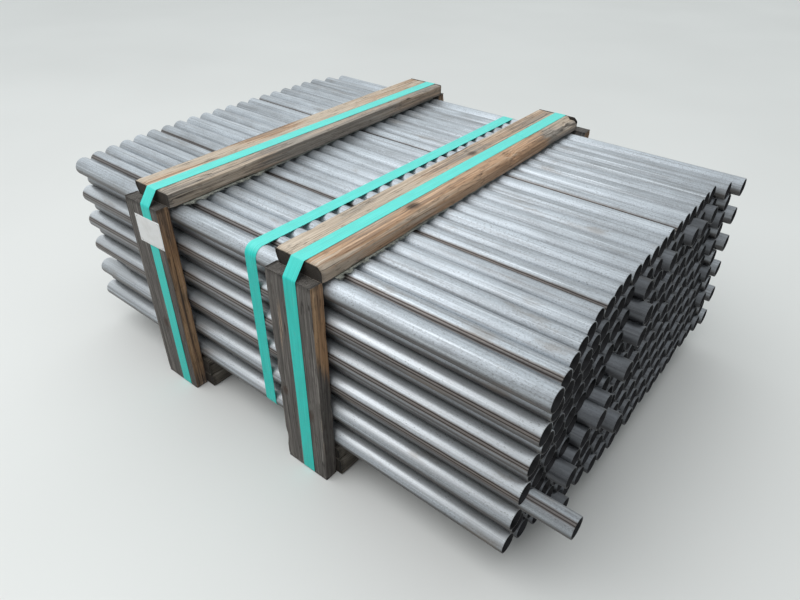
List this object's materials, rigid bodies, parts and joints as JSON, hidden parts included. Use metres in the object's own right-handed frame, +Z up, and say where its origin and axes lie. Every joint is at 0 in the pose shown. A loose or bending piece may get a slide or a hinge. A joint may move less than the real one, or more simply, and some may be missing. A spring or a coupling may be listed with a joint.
{
  "type": "pipe bundle",
  "caption": "Strapped bundle of short thin-walled steel pipes stacked in grooves, with timber collars and flat straps.",
  "frame": {"origin": "middle of the footprint, on the floor", "axes": "+X along the pipes, +Y from the near side to the far side, +Z up"},
  "size_m": [1.6556, 1.2176, 0.626],
  "materials": {
    "steel": "mill finish, dull grey with light rust at the seams",
    "timber": "weathered, dry",
    "strap": "satin",
    "packing": "frayed, dull"
  },
  "bodies": {
    "root": {"pipe_row_01": "steel", "pipe_row_02": "steel", "pipe_row_03": "steel", "pipe_row_04": "steel", "pipe_row_05": "steel", "pipe_row_06": "steel", "pipe_row_07": "steel", "pipe_row_08": "steel", "pipe_row_09": "steel", "pipe_row_10": "steel", "pipe_row_11": "steel", "bearer_lower_left": "timber", "bearer_upper_left": "timber", "upright_front_left": "timber", "upright_back_left": "timber", "top_timber_left": "timber", "bearer_lower_right": "timber", "bearer_upper_right": "timber", "upright_front_right": "timber", "upright_back_right": "timber", "top_timber_right": "timber", "strap_left": "strap", "strap_middle": "strap", "strap_right": "strap", "packing_strip_left": "packing", "packing_strip_right": "packing"}
  },
  "joints": []
}
